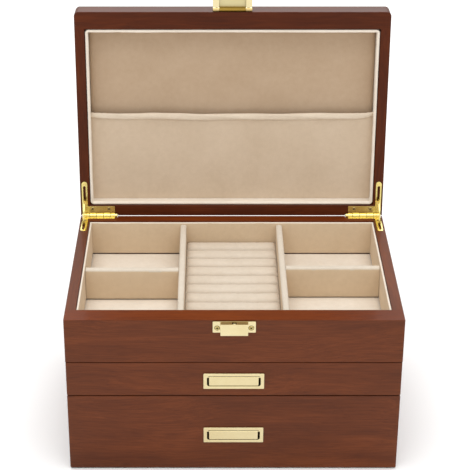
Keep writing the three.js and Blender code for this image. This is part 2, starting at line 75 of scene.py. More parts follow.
class Net:
    def __init__(self, name):
        self.m = bpy.data.materials.new(name)
        self.m.use_nodes = True
        self.t = self.m.node_tree
        self.t.nodes.clear()
        self.out = self.t.nodes.new("ShaderNodeOutputMaterial")
        self.b = self.t.nodes.new("ShaderNodeBsdfPrincipled")
        self.t.links.new(self.b.outputs[0], self.out.inputs[0])
        self.co = self.t.nodes.new("ShaderNodeTexCoord").outputs["Object"]

    def link(self, a, b):
        self.t.links.new(a, b)

    def mapped(self, scale, loc=(0, 0, 0), src=None):
        n = self.t.nodes.new("ShaderNodeMapping")
        n.inputs["Scale"].default_value = scale
        n.inputs["Location"].default_value = loc
        self.link(src or self.co, n.inputs["Vector"])
        return n.outputs[0]

    def noise(self, vec, scale=1.0, detail=2.0, rough=0.5, distort=0.0):
        n = self.t.nodes.new("ShaderNodeTexNoise")
        n.inputs["Scale"].default_value = scale
        n.inputs["Detail"].default_value = detail
        n.inputs["Roughness"].default_value = rough
        n.inputs["Distortion"].default_value = distort
        self.link(vec, n.inputs["Vector"])
        return n.outputs["Fac"]

    def ramp(self, fac, stops):
        n = self.t.nodes.new("ShaderNodeValToRGB")
        e = n.color_ramp.elements
        while len(e) < len(stops):
            e.new(0.5)
        for el, (p, c) in zip(e, stops):
            el.position = p
            el.color = c if len(c) == 4 else (*c, 1.0)
        self.link(fac, n.inputs["Fac"])
        return n.outputs["Color"]

    def math(self, op, a, b=None, c=None):
        n = self.t.nodes.new("ShaderNodeMath")
        n.operation = op
        for i, v in enumerate((a, b, c)):
            if v is None:
                continue
            if isinstance(v, (int, float)):
                n.inputs[i].default_value = v
            else:
                self.link(v, n.inputs[i])
        return n.outputs[0]

    def mix(self, kind, fac, a, b):
        n = self.t.nodes.new("ShaderNodeMix")
        n.data_type = 'RGBA'
        n.blend_type = kind
        for sock, v in ((n.inputs[0], fac), (n.inputs[6], a), (n.inputs[7], b)):
            if isinstance(v, (int, float, tuple)):
                sock.default_value = v
            else:
                self.link(v, sock)
        return n.outputs[2]

    def bump(self, height, strength, distance):
        n = self.t.nodes.new("ShaderNodeBump")
        n.inputs["Strength"].default_value = strength
        n.inputs["Distance"].default_value = distance
        self.link(height, n.inputs["Height"])
        self.link(n.outputs[0], self.b.inputs["Normal"])

    def set(self, **k):
        for name, v in k.items():
            self.b.inputs[name.replace("_", " ")].default_value = v


def along(axis, a, c):
    return {"x": (a, c, c), "y": (c, a, c), "z": (c, c, a)}[axis]


def wood(name, axis, dark, mid, light, loc=(0, 0, 0), coat=0.22, rough=0.42, coat_rough=0.09):
    n = Net(name)
    bend = n.noise(n.mapped(along(axis, 5, 13), loc), 1.0, 2.0, 0.5)
    warp = n.t.nodes.new("ShaderNodeVectorMath")
    warp.operation = 'MULTIPLY_ADD'
    comb = n.t.nodes.new("ShaderNodeCombineXYZ")
    for i in range(3):
        n.link(bend, comb.inputs[i])
    n.link(comb.outputs[0], warp.inputs[0])
    warp.inputs[1].default_value = along(axis, 0.0, 0.030)
    n.link(n.co, warp.inputs[2])
    v = warp.outputs[0]
    figure = n.noise(n.mapped(along(axis, 9, 62), loc, v), 1.0, 3.0, 0.5, 0.35)
    fibre = n.noise(n.mapped(along(axis, 26, 760), loc, v), 1.0, 3.0, 0.6)
    pore = n.noise(n.mapped(along(axis, 85, 1900), loc, v), 1.0, 2.0, 0.5)
    cloud = n.noise(n.mapped(along(axis, 6, 14), loc), 1.0, 2.0, 0.5)
    f = n.math('MULTIPLY_ADD', figure, 0.52, n.math('MULTIPLY', fibre, 0.48))
    col = n.ramp(f, [(0.30, dark), (0.50, mid), (0.70, light)])
    tone = n.ramp(cloud, [(0.3, (0.86, 0.84, 0.82)), (0.7, (1.0, 1.0, 1.0))])
    col = n.mix('MULTIPLY', 1.0, col, tone)
    pm = n.ramp(pore, [(0.30, (0.62, 0.58, 0.55)), (0.42, (1, 1, 1))])
    col = n.mix('MULTIPLY', 0.55, col, pm)
    n.link(col, n.b.inputs["Base Color"])
    n.link(n.math('MULTIPLY_ADD', fibre, 0.14, rough - 0.07), n.b.inputs["Roughness"])
    h = n.math('MULTIPLY_ADD', pore, 0.6, n.math('MULTIPLY', fibre, 0.5))
    n.bump(h, 0.16, 0.0002)
    n.set(Coat_Weight=coat, Coat_Roughness=coat_rough, IOR=1.5, Specular_IOR_Level=0.12)
    return n.m


WD, WM, WL = srgb(83, 38, 14), srgb(100, 48, 18), srgb(118, 59, 25)
# the lid's walnut tones are set darker than the cabinet's
LD, LM, LL = srgb(68, 27, 6), srgb(84, 35, 9), srgb(101, 45, 14)
M_FRONT = wood("walnut_front", "x", WD, WM, WL)
M_FRONT1 = wood("walnut_front_upper_drawer", "x", WD, WM, WL, (0.3, 0.0, 0.21))
M_FRONT2 = wood("walnut_front_lower_drawer", "x", WD, WM, WL, (0.7, 0.0, 0.53))
M_SIDE = wood("walnut_side", "y", WD, WM, WL, (0.1, 0.2, 0.3))
M_LIDX = wood("walnut_lid", "x", LD, LM, LL, (0.5, 0.4, 0.0), 0.07, 0.5)
M_LIDY = wood("walnut_lid_side", "z", LD, LM, LL, (0.2, 0.1, 0.4), 0.07, 0.5)
# warmer, more saturated walnut for the upward-facing top faces of front and back: painted light on the rim
RD, RM, RL = srgb(91, 37, 7), srgb(108, 46, 10), srgb(126, 57, 14)
M_RIMX_PAINTED_LIGHT = wood("walnut_rim", "x", RD, RM, RL, (0.6, 0.2, 0.0), 0.05, 0.5)
M_RIMY = wood("walnut_rim_side", "y", WD, WM, WL, (0.2, 0.6, 0.0), 0.07, 0.5)
ID, IM, IL = srgb(70, 38, 22), srgb(98, 56, 34), srgb(124, 76, 48)
M_INX = wood("inner_wood_x", "x", ID, IM, IL, (0.15, 0.3, 0.2), 0.0, 0.62)
M_INY = wood("inner_wood_y", "y", ID, IM, IL, (0.45, 0.1, 0.6), 0.0, 0.62)


def brass(name, base, rough):
    n = Net(name)
    big = n.noise(n.mapped((55, 55, 55)), 1.0, 3.0, 0.5)
    fine = n.noise(n.mapped((420, 1900, 1900)), 1.0, 2.0, 0.5)
    speck = n.noise(n.mapped((2600, 2600, 2600)), 1.0, 2.0, 0.6)
    tone = n.ramp(big, [(0.3, (0.93, 0.90, 0.84)), (0.7, (1, 1, 1))])
    n.link(n.mix('MULTIPLY', 1.0, base, tone), n.b.inputs["Base Color"])
    n.link(n.math('MULTIPLY_ADD', big, 0.14, n.math('MULTIPLY_ADD', fine, 0.07, rough - 0.1)), n.b.inputs["Roughness"])
    n.bump(n.math('MULTIPLY_ADD', fine, 0.6, n.math('MULTIPLY', speck, 0.4)), 0.05, 0.0001)
    n.set(Metallic=1.0)
    return n.m


M_BRASS = brass("brass_polished", (0.78, 0.68, 0.41, 1), 0.20)
M_BRASS_H = brass("brass_hinge", (0.86, 0.72, 0.27, 1), 0.22)
# pale copy of the brass for the back face of the hasp flap's hollow: painted highlight
M_PAINTED_HIGHLIGHT_BRASS = brass("brass_painted_highlight", (0.70, 0.62, 0.36, 1), 0.42)
# dark olive copy of the brass: painted shade in the hasp flap's hollow and centre knuckle
M_PAINTED_SHADE_OLIVE = brass("brass_painted_shade_olive", (0.27, 0.175, 0.035, 1), 0.36)
# darker copy of the brass: painted shade on the hasp plate's knuckle barrels and a painted dark reflection on the
# keeper's top face
M_PAINTED_DARK_BRASS = brass("brass_painted_shade_and_reflection", (0.50, 0.38, 0.17, 1), 0.32)
# near-black copy of the brass: painted shade inside screw recesses, the keeper's counterbores and the pull cups
M_PAINTED_SHADE_RECESS = brass("brass_painted_shade_recess", (0.045, 0.03, 0.012, 1), 0.55)
M_SCREW = brass("brass_screw", (0.62, 0.50, 0.22, 1), 0.28)


def velvet(name, base, sheen=0.25, nap=(0.90, 0.88, 0.85), depth=0.3):
    n = Net(name)
    cloud = n.noise(n.mapped((26, 26, 26)), 1.0, 3.0, 0.55, 0.4)
    mott = n.noise(n.mapped((210, 210, 210)), 1.0, 3.0, 0.6)
    hair = n.noise(n.mapped((3300, 3300, 3300)), 1.0, 2.0, 0.6)
    f = n.math('MULTIPLY_ADD', cloud, 0.6, n.math('MULTIPLY', mott, 0.4))
    tone = n.ramp(f, [(0.32, nap), (0.66, (1.0, 1.0, 1.0))])
    col = n.mix('MULTIPLY', 1.0, base, tone)
    dots = n.ramp(hair, [(0.3, (0.84, 0.81, 0.78)), (0.55, (1, 1, 1))])
    col = n.mix('MULTIPLY', 0.45, col, dots)
    n.link(col, n.b.inputs["Base Color"])
    n.link(n.math('MULTIPLY_ADD', mott, 0.12, 0.84), n.b.inputs["Roughness"])
    n.bump(n.math('MULTIPLY_ADD', hair, 0.7, n.math('MULTIPLY', mott, 0.5)), depth, 0.0004)
    n.set(Sheen_Weight=sheen, Sheen_Roughness=0.45, Sheen_Tint=(1.0, 0.95, 0.88, 1.0), Specular_IOR_Level=0.15)
    return n.m


V_FLOOR = velvet("velvet_cream", srgb(229, 219, 205))
V_ROLL = velvet("velvet_cushion", srgb(216, 204, 188))
# lighter copy of the cream velvet for the tops of walls and the lid lip: painted highlight
V_LIT_EDGE = velvet("velvet_painted_highlight_edge", srgb(241, 231, 217), 0.35)
V_DIV = velvet("velvet_divider", srgb(217, 207, 192), 0.3)
V_HEM = velvet("velvet_hem", srgb(224, 209, 189), 0.25)
V_POCKET = velvet("velvet_pocket", srgb(212, 193, 170), 0.2)
# tan copy of the cream velvet for the vertical walls: painted shade
V_SHADED_WALL = velvet("velvet_painted_shade_wall", srgb(220, 199, 170), 0.15)
V_PAD = velvet("velvet_lid", srgb(192, 168, 142), 0.2)
M_FELT = velvet("felt_dark", srgb(46, 36, 30), 0.2, (0.8, 0.8, 0.8), 0.5)


# ------------------------------------------------------------------ mesh tools, in mm
def bm_prism(pts, a, b, axis):
    """Polygon extruded along an axis: x takes (y, z), y takes (x, z), z takes (x, y)."""
    bm = bmesh.new()

    def at(p, t):
        return {"x": (t, p[0], p[1]), "y": (p[0], t, p[1]), "z": (p[0], p[1], t)}[axis]
    lo = [bm.verts.new(at(p, a)) for p in pts]
    hi = [bm.verts.new(at(p, b)) for p in pts]
    bm.faces.new(lo)
    bm.faces.new(list(reversed(hi)))
    for i in range(len(pts)):
        j = (i + 1) % len(pts)
        bm.faces.new((lo[i], lo[j], hi[j], hi[i]))
    bmesh.ops.recalc_face_normals(bm, faces=bm.faces)
    return bm


def bm_box(x0, x1, y0, y1, z0, z1):
    return bm_prism([(x0, y0), (x1, y0), (x1, y1), (x0, y1)], z0, z1, "z")


def bm_cyl(axis, u, v, r, a, b, n=28):
    return bm_prism([(u + r * math.cos(2 * math.pi * (i + .5) / n), v + r * math.sin(2 * math.pi * (i + .5) / n)) for i in range(n)], a, b, axis)


def rrect(x0, x1, y0, y1, r, nc=5, nx=1, ny=1):
    pts = []
    for cx, cy, a0, (sx, sy), m in ((x1 - r, y0 + r, -90, (1, 0), nx), (x1 - r, y1 - r, 0, (0, 1), ny),
                                    (x0 + r, y1 - r, 90, (-1, 0), nx), (x0 + r, y0 + r, 180, (0, -1), ny)):
        a = rad(a0)
        arc = [(cx + r * math.cos(a + math.pi / 2 * i / nc), cy + r * math.sin(a + math.pi / 2 * i / nc)) for i in range(nc + 1)]
        if pts and m > 1 or (not pts and m > 1):
            start = pts[-1] if pts else (x0 + r, y0)
            for i in range(1, m):
                t = i / m
                pts.append((start[0] + (arc[0][0] - start[0]) * t, start[1] + (arc[0][1] - start[1]) * t))
        pts += arc
    return pts


def bevel(bm, w, seg=3, pick=None, ang=30):
    bm.normal_update()
    es = [e for e in bm.edges if len(e.link_faces) == 2 and e.calc_face_angle(0) > rad(ang) and (pick is None or pick(e))]
    if es:
        bmesh.ops.bevel(bm, geom=es, offset=w, offset_type='OFFSET', segments=seg, profile=0.5, affect='EDGES', clamp_overlap=True)
    return bm


def temp(bm):
    me = bpy.data.meshes.new("tmp")
    bm.to_mesh(me)
    bm.free()
    o = bpy.data.objects.new("tmp", me)
    scene.collection.objects.link(o)
    return o


def boole(a, b, op='DIFFERENCE'):
    oa, ob = temp(a), temp(b)
    m = oa.modifiers.new("m", "BOOLEAN")
    m.operation, m.object, m.solver = op, ob, 'EXACT'
    dg = bpy.context.evaluated_depsgraph_get()
    me = bpy.data.meshes.new_from_object(oa.evaluated_get(dg))
    out = bmesh.new()
    out.from_mesh(me)
    for o in (oa, ob):
        d = o.data
        bpy.data.objects.remove(o)
        bpy.data.meshes.remove(d)
    bpy.data.meshes.remove(me)
    bmesh.ops.remove_doubles(out, verts=out.verts, dist=0.002)
    bmesh.ops.dissolve_limit(out, angle_limit=rad(0.4), verts=out.verts, edges=out.edges)
    return out


def cut(a, *bs):
    for b in bs:
        a = boole(a, b)
    return a


def fuse(a, *bs):
    for b in bs:
        a = boole(a, b, 'UNION')
    return a


def join(*bms):
    out = bmesh.new()
    for b in bms:
        me = bpy.data.meshes.new("tmp")
        b.to_mesh(me)
        b.free()
        out.from_mesh(me)
        bpy.data.meshes.remove(me)
    return out


def moved(bm, M, flip=False):
    bmesh.ops.transform(bm, matrix=M, verts=bm.verts)
    if flip:
        bmesh.ops.reverse_faces(bm, faces=bm.faces)
    return bm


def copy_bm(bm):
    return bm.copy()


def split(bm, *planes):
    for co, no in planes:
        bmesh.ops.bisect_plane(bm, geom=bm.verts[:] + bm.edges[:] + bm.faces[:], dist=1e-3, plane_co=co, plane_no=no)
    return bm


def make(name, bm, mats, body, nodes=(), M=None, smooth=32, weighted=True, face_mat=None):
    mats = mats if isinstance(mats, (list, tuple)) else [mats]
    if face_mat:
        bm.normal_update()
        for f in bm.faces:
            f.material_index = face_mat(f.calc_center_median(), f.normal)
    me = bpy.data.meshes.new(name)
    bm.to_mesh(me)
    bm.free()
    me.transform((M if M is not None else Matrix.Identity(4)) @ Matrix.Scale(MM, 4))
    for m in mats:
        me.materials.append(m)
    me.shade_smooth()
    me.set_sharp_from_angle(angle=rad(smooth))
    o = bpy.data.objects.new(name, me)
    scene.collection.objects.link(o)
    if weighted:
        w = o.modifiers.new("wn", "WEIGHTED_NORMAL")
        w.keep_sharp = True
    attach(o, body)
    if nodes:
        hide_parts(*nodes)
    return o


def sweep(profile, stations, axis, f=None):
    """A closed profile of (u, w) carried along an axis: x gives (t, u, w), y gives (u, t, w)."""
    bm = bmesh.new()
    rings = []
    for t in stations:
        ring = []
        for i, (u, w) in enumerate(profile):
            if f:
                u, w = f(t, u, w, i)
            ring.append(bm.verts.new((t, u, w) if axis == "x" else (u, t, w)))
        rings.append(ring)
    n = len(profile)
    for a, b in zip(rings, rings[1:]):
        for i in range(n):
            j = (i + 1) % n
            bm.faces.new((a[i], a[j], b[j], b[i]))
    bm.faces.new(list(reversed(rings[0])))
    bm.faces.new(rings[-1])
    bmesh.ops.recalc_face_normals(bm, faces=bm.faces)
    return bm


def board_profile(u0, u1, w0, w1, r, n=5, rows=5):
    r = min(r, (u1 - u0) / 2 - 0.01)
    pts = [(u0, w0 + (w1 - r - w0) * k / rows) for k in range(rows)]
    pts += [(u0 + r - r * math.cos(math.pi / 2 * k / n), w1 - r + r * math.sin(math.pi / 2 * k / n)) for k in range(n + 1)]
    pts += [(u1 - r + r * math.sin(math.pi / 2 * k / n), w1 - r + r * math.cos(math.pi / 2 * k / n)) for k in range(n + 1)]
    pts += [(u1, w1 - r - (w1 - r - w0) * k / rows) for k in range(1, rows + 1)]
    return pts


def stations(a, b, step):
    n = max(2, round((b - a) / step))
    return [a + (b - a) * i / n for i in range(n + 1)]


def slab(u0, u1, v0, v1, base, f, step=2.5, place=lambda u, v, h: (u, v, h)):
    """A closed pad: a grid top of height f(u, v) over a flat base."""
    us, vs = stations(u0, u1, step), stations(v0, v1, step)
    bm = bmesh.new()
    g = [[bm.verts.new(place(u, v, f(u, v))) for v in vs] for u in us]
    for i in range(len(us) - 1):
        for j in range(len(vs) - 1):
            bm.faces.new((g[i][j], g[i + 1][j], g[i + 1][j + 1], g[i][j + 1]))
    border = [(i, 0) for i in range(len(us))] + [(len(us) - 1, j) for j in range(1, len(vs))] \
        + [(i, len(vs) - 1) for i in range(len(us) - 2, -1, -1)] + [(0, j) for j in range(len(vs) - 2, 0, -1)]
    low = [bm.verts.new(place(us[i], vs[j], base)) for i, j in border]
    for k in range(len(border)):
        l = (k + 1) % len(border)
        a, b = g[border[k][0]][border[k][1]], g[border[l][0]][border[l][1]]
        bm.faces.new((a, b, low[l], low[k]))
    bm.faces.new(low)
    bmesh.ops.recalc_face_normals(bm, faces=bm.faces)
    return bm


def roll_off(d, w, h):
    """Height lost d mm from a pad's edge, over a rounding w wide and h deep."""
    if d >= w:
        return 0.0
    q = 1 - max(0.0, d) / w
    return h * (1 - math.sqrt(max(0.0, 1 - q * q)))


# ------------------------------------------------------------------ hinge shapes, right side, from the axis
def leaf_outline(back, x0, x1, end, g=0.0, top=-2.8):
    c, r = (x0 + x1) / 2, (x1 - x0) / 2
    arc = [(c + (r + g) * math.cos(math.pi * i / 12), -end + r - (r + g) * math.sin(math.pi * i / 12)) for i in range(13)]
    return [(116 - g, top), (116 - g, -back - g), (x0 - g, -back - g)] + arc[::-1] + [(x1 + g, top)]


LOWER = (5.7, 142.4, 148.2, 33.6)
UPPER = (9.8, 142.6, 148.4, 36.0)
MIRROR = Matrix.Scale(-1, 4, (1, 0, 0))


def sector(r0, r1, a0, a1, n):
    out = [(-r1 * math.cos(rad(a0 + (a1 - a0) * i / n)), r1 * math.sin(rad(a0 + (a1 - a0) * i / n))) for i in range(n + 1)]
    return out + [(-r0 * math.cos(rad(a0 + (a1 - a0) * i / n)), r0 * math.sin(rad(a0 + (a1 - a0) * i / n))) for i in range(n, -1, -1)]


def recesses(sign, dims, a0, a1):
    """Cutters for both sides, from the axis."""
    z = (-1, 2.3) if sign > 0 else (-2.3, 1)
    out = []
    for side in (1, -1):
        parts = [bm_prism(leaf_outline(*dims, 0.3, 1.0), *z, "z"),
                 bm_box(113.0, 148.9, -2.9, 6, *((-1, 2.9) if sign > 0 else (-2.9, 1))),
                 bm_prism(sector(15.0, 18.9, a0, a1, 14), 144.6, 146.6, "x")]
        for p in parts:
            if side < 0:
                moved(p, MIRROR, True)
            out.append(p)
    return out


# ------------------------------------------------------------------ cabinet shell
uf = mmbox("upper_front_panel")
sp = mmbox("side_panel_right")
bp = mmbox("back_panel")
TOP = uf[5]
shell = bm_box(uf[0], uf[1], uf[2], bp[3], sp[4], TOP)
shell = cut(shell,
            bm_box(-sp[0], sp[0], uf[3], bp[2], -10, 200),
            bm_box(-160, 160, -130, sp[2] if sp[2] > -95 else -94.2, -10, uf[4]),
            bm_box(-sp[0], sp[0], -130, uf[3] + 1, -10, uf[4]))
bevel(shell, 0.12, 1, lambda e: e.is_convex and all(v.co.y > bp[3] - .01 and v.co.z > TOP - .01 for v in e.verts))
bevel(shell, 1.3, 4, lambda e: e.is_convex and not any(v.co.y > bp[3] - .4 and v.co.z > TOP - .4 for v in e.verts) or e.is_convex and abs(e.verts[0].co.y - e.verts[1].co.y) > 20)
shell = cut(shell, *[moved(c, Matrix.Translation((0, AY, AZ))) for c in recesses(-1, LOWER, -55.05, 3)])
for x in (-15, 15):
    shell = cut(shell, bm_cyl("y", x, 150.4, 1.4, -110, -95.5, 16))
split(shell, ((0, uf[3], 0), (0, 1, 0)), ((sp[0], 0, 0), (1, 0, 0)), ((-sp[0], 0, 0), (1, 0, 0)), ((0, bp[2], 0), (0, 1, 0)))
# upward-facing top faces of front and back take the warmer rim walnut, a painted light; the sides' top faces take the
# y-grain copy
make("cabinet_shell", shell, [M_FRONT, M_SIDE, M_RIMX_PAINTED_LIGHT, M_RIMY], "cabinet",
     ("side_panel_left", "side_panel_right", "upper_front_panel", "back_panel"),
     face_mat=lambda c, n: (2 if n.z > .35 and c.z > TOP - 1.4 else 0) + (1 if abs(c.x) > sp[0] - .05 and c.y > uf[3] and not (abs(n.y) > .9 and c.y > 100) else 0))

# ------------------------------------------------------------------ lid shell, in the lid's frame
lt = mmbox("lid_top_panel", LIDM)
lf = mmbox("lid_front_rail", LIDM)
lb = mmbox("lid_back_rail", LIDM)
ls = mmbox("lid_side_rail_right", LIDM)
RIM = lf[4]
lid = bm_box(lt[0], lt[1], lt[2], lt[3], RIM, lt[5])
bevel(lid, 4.4, 7, lambda e: all(abs(v.co.y - lt[2]) < .01 for v in e.verts) and abs(e.verts[0].co.x - e.verts[1].co.x) < .01)
bevel(lid, 4.2, 7, lambda e: all(v.co.z > lt[5] - .01 for v in e.verts), 20)
bevel(lid, 0.7, 4, lambda e: all(v.co.z < RIM + .01 for v in e.verts) and not all(v.co.y > lt[3] - .01 for v in e.verts), 20)
lid = cut(lid, bm_box(-ls[0], ls[0], lf[3], lb[2], -5, lt[5] - 5))
bevel(lid, 1.0, 3, lambda e: e.is_convex and all(v.co.z < RIM + .01 and abs(v.co.x) < ls[0] + .01 and lf[3] - .01 < v.co.y < lb[2] + .01 for v in e.verts))
lid = cut(lid, *recesses(1, UPPER, -3, 54.55))
for x in (-15, 15):
    lid = cut(lid, bm_cyl("y", x, 9.4, 1.3, lt[2] - 2, lt[2] + 7, 16))
split(lid, ((0, lf[3], 0), (0, 1, 0)), ((ls[0], 0, 0), (1, 0, 0)), ((-ls[0], 0, 0), (1, 0, 0)), ((0, lb[2], 0), (0, 1, 0)))
make("lid_shell", lid, [M_LIDX, M_LIDY], "lid",
     ("lid_top_panel", "lid_front_rail", "lid_back_rail", "lid_side_rail_left", "lid_side_rail_right"), LIDM,
     face_mat=lambda c, n: 1 if abs(c.x) > ls[0] - .05 and c.y > lf[3] and c.z < lt[5] - 4.25 and not (abs(n.y) > .9 and c.y > -3) else 0)

# ------------------------------------------------------------------ drawers
for d, zp, mat in (("upper_drawer", 95.3, M_FRONT1), ("lower_drawer", 37.8, M_FRONT2)):
    b = mmbox(d + "_front")
    fr = bevel(bm_box(*b), 1.1, 4)
    fr = cut(fr, bm_prism(rrect(-25.1, 25.1, zp - 6.2, zp + 6.2, 3.2), b[2] - 2, b[2] + 4.7, "y"))
    make(d + "_front_panel", fr, mat, d, (d + "_front",))
    # lining: four wrapped boards and a floor pad
    x0, x1, y0, y1, z0, z1 = mmbox(d + "_lining")
    top = z1
    parts = []
    for s in (-1, 1):
        u = (x0, x0 + 1.5) if s < 0 else (x1 - 1.5, x1)
        parts.append(sweep(board_profile(*u, z0, top, 0.7, 3, 3), stations(y0, y1, 6), "y",
                           lambda t, a, w, i, s=s: (a, w + (0.12 * wob(t * .06, s * 3.) if w > top - 1 else 0))))
        v = (y0, y0 + 1.5) if s < 0 else (y1 - 1.5, y1)
        parts.append(sweep(board_profile(*v, z0, top, 0.7, 3, 3), stations(x0 + 1.6, x1 - 1.6, 6), "x",
                           lambda t, a, w, i, s=s: (a, w + (0.12 * wob(t * .06, s * 5.) if w > top - 1 else 0))))
    lx0, lx1, ly0, ly1 = x0 + 1.6, x1 - 1.6, y0 + 1.6, y1 - 1.6
    parts.append(slab(lx0, lx1, ly0, ly1, z0, lambda u, v: z0 + 1.9 + 0.25 * wob(u * .02, v * .02, 3.)
                      - roll_off(min(u - lx0, lx1 - u, v - ly0, ly1 - v), 3.5, 1.2), 4.0))
    # walls take the tan velvet (painted shade), tops the lighter velvet (painted highlight), floor faces the cream
    # velvet
    o = make(d + "_velvet", join(*parts), [V_SHADED_WALL, V_FLOOR, V_LIT_EDGE], d, (d + "_lining",), smooth=60, weighted=False,
             face_mat=lambda c, n, t=top, z=z0: 2 if c.z > t - .8 else (1 if c.z < z + 2.4 and n.z > .3 else 0))

for name, obj in frame["nodes"].items():
    if name.endswith(("_side_left", "_side_right", "_back", "_bottom")) and name.startswith(("upper_drawer", "lower_drawer")) \
            or name in ("tray_floor_panel", "drawer_divider_panel", "base_panel"):
        w = obj.modifiers.new("weld", "WELD")
        w.merge_threshold = 1e-5
        b = obj.modifiers.new("edge", "BEVEL")
        b.width, b.segments, b.limit_method, b.angle_limit = 0.0005, 2, 'ANGLE', rad(40)
        wn = obj.modifiers.new("wn", "WEIGHTED_NORMAL")
        wn.keep_sharp = True
        obj.data.materials.clear()
        obj.data.materials.append(M_INY if name.endswith(("_side_left", "_side_right")) else M_INX)

x0, x1, y0, y1, z0, z1 = mmbox("base_felt")
felt = slab(x0, x1, y0, y1, z0, lambda u, v: z1 - roll_off(min(u - x0, x1 - u, v - y0, y1 - v), 0.8, 0.4) - 0.05 - 0.05 * wob(u * .05, v * .05), 5.0)
o = make("base_felt_sheet", felt, M_FELT, "cabinet", ("base_felt",), smooth=50, weighted=False)

# ------------------------------------------------------------------ tray velvet
def top_index(top, depth=1.0):
    return lambda c, n: 1 if c.z > top - depth and n.z > 0.15 else 0


def board(name, node, axis, r, mats, depth, lean=0.0, sag=0.15, inner=0):
    x0, x1, y0, y1, z0, z1 = mmbox(node)
    u0, u1, a, b = (y0, y1, x0, x1) if axis == "x" else (x0, x1, y0, y1)
    mid, half = (u0 + u1) / 2, (u1 - u0) / 2
    seed = (x0 + y0) * .37

    def f(t, u, w, i):
        k = (w - z0) / (z1 - z0)
        swell = 0.10 * wob(t * .045, w * .05, seed) + 0.05 * wob(t * .16, w * .1, seed)
        side = (u - mid) / half
        u2 = u + side * swell + lean * (k - 1) * 0
        w2 = w + (sag * wob(t * .035, seed) * max(0.0, (k - .8) / .2) if k > .8 else 0.0)
        return u2, w2
    bm = sweep(board_profile(u0, u1, z0, z1, r, 5, 6), stations(a, b, 4.0), axis, f)
    o = make(name, bm, mats, "cabinet", (node,), smooth=60, weighted=False, face_mat=top_index(z1, depth))
    return o


# sides take the tan velvet, a painted shade; the tray walls' tops take the lighter velvet, a painted highlight
for side in ("front", "back"):
    board(f"tray_wall_{side}_velvet", f"tray_lining_{side}", "x", 0.85, [V_SHADED_WALL, V_LIT_EDGE], 0.8)
for side in ("left", "right"):
    board(f"tray_wall_{side}_velvet", f"tray_lining_{side}", "y", 0.85, [V_SHADED_WALL, V_LIT_EDGE], 0.8)
    board(f"divider_{side}_velvet", f"divider_{side}", "y", 2.1, [V_SHADED_WALL, V_DIV], 1.7)
    board(f"cross_divider_{side}_velvet", f"cross_divider_{side}", "x", 2.3, [V_SHADED_WALL, V_DIV], 1.9)

# floor: one board under four crowned pads
x0, x1, y0, y1, z0, z1 = mmbox("tray_lining_floor")
dl, dr = mmbox("divider_left"), mmbox("divider_right")
cl, cr = mmbox("cross_divider_left"), mmbox("cross_divider_right")
wl, wr = mmbox("tray_lining_left"), mmbox("tray_lining_right")
wf, wb = mmbox("tray_lining_front"), mmbox("tray_lining_back")
cells = [(wl[1], dl[0], wf[3], cl[2]), (wl[1], dl[0], cl[3], wb[2]), (dr[1], wr[0], wf[3], cr[2]), (dr[1], wr[0], cr[3], wb[2])]


def floor_h(u, v):
    for a, b, c, d in cells:
        if a < u < b and c < v < d:
            e = min(u - a, b - u, v - c, d - v)
            return z1 + 0.55 * min(1.0, e / 22) ** .8 + 0.22 * wob(u * .035, v * .035, 2.) - roll_off(e, 4.0, 1.5)
    return z1 - 1.55


o = make("tray_floor_velvet", slab(x0, x1, y0, y1, z0, floor_h, 2.0), V_FLOOR, "cabinet", ("tray_lining_floor",), smooth=70, weighted=False)

# ring rolls
x0, x1, y0, y1, z0, z1 = mmbox("ring_roll_cushion")
ROLLS, zs = 10, 125.0
pitch = (y1 - y0) / ROLLS
prof = [(y1, z0), (y1, zs)]
for i in range(ROLLS - 1, -1, -1):
    yc, a = y0 + pitch * (i + .5), pitch / 2 - .3
    for k in range(17):
        t = math.pi * k / 16
        c, s = math.cos(t), math.sin(t)
        prof.append((yc + a * math.copysign(abs(c) ** .62, c), zs + (z1 - zs) * max(0.0, s) ** .55 + (.001 if k in (0, 16) else 0)))
prof += [(y0, zs), (y0, z0)]


def roll_f(t, u, w, i):
    e = min(t - x0, x1 - t)
    if w > zs + .01:
        k = (w - zs) / (z1 - zs)
        roll = int((u - y0) / pitch)
        w -= k * (roll_off(e, 3.0, 2.2) + 0.30 * (0.5 + wob(t * .05, roll * 2.3)) - 0.12 * wob(t * .22, u * .2))
        u += k * 0.22 * wob(t * .06, roll * 1.7, 5.)
    return u, w


o = make("ring_roll_velvet", sweep(prof, stations(x0, x1, 2.2), "x", roll_f), V_ROLL, "cabinet", ("ring_roll_cushion",), smooth=50, weighted=False)

# ------------------------------------------------------------------ lid velvet, in the lid's frame
x0, x1, y0, y1, z0, z1 = mmbox("lid_lining_pad", LIDM)


def pad_h(u, v):
    e = min(u - x0, x1 - u, v - y0, y1 - v)
    return z0 - 0.9 * min(1.0, e / 30) - 0.25 * wob(u * .02, v * .02, 9.) + roll_off(e, 5.0, 1.3)


o = make("lid_pad_velvet", slab(x0, x1, y0, y1, z1, pad_h, 3.5), V_PAD, "lid", ("lid_lining_pad",), LIDM, smooth=70, weighted=False)

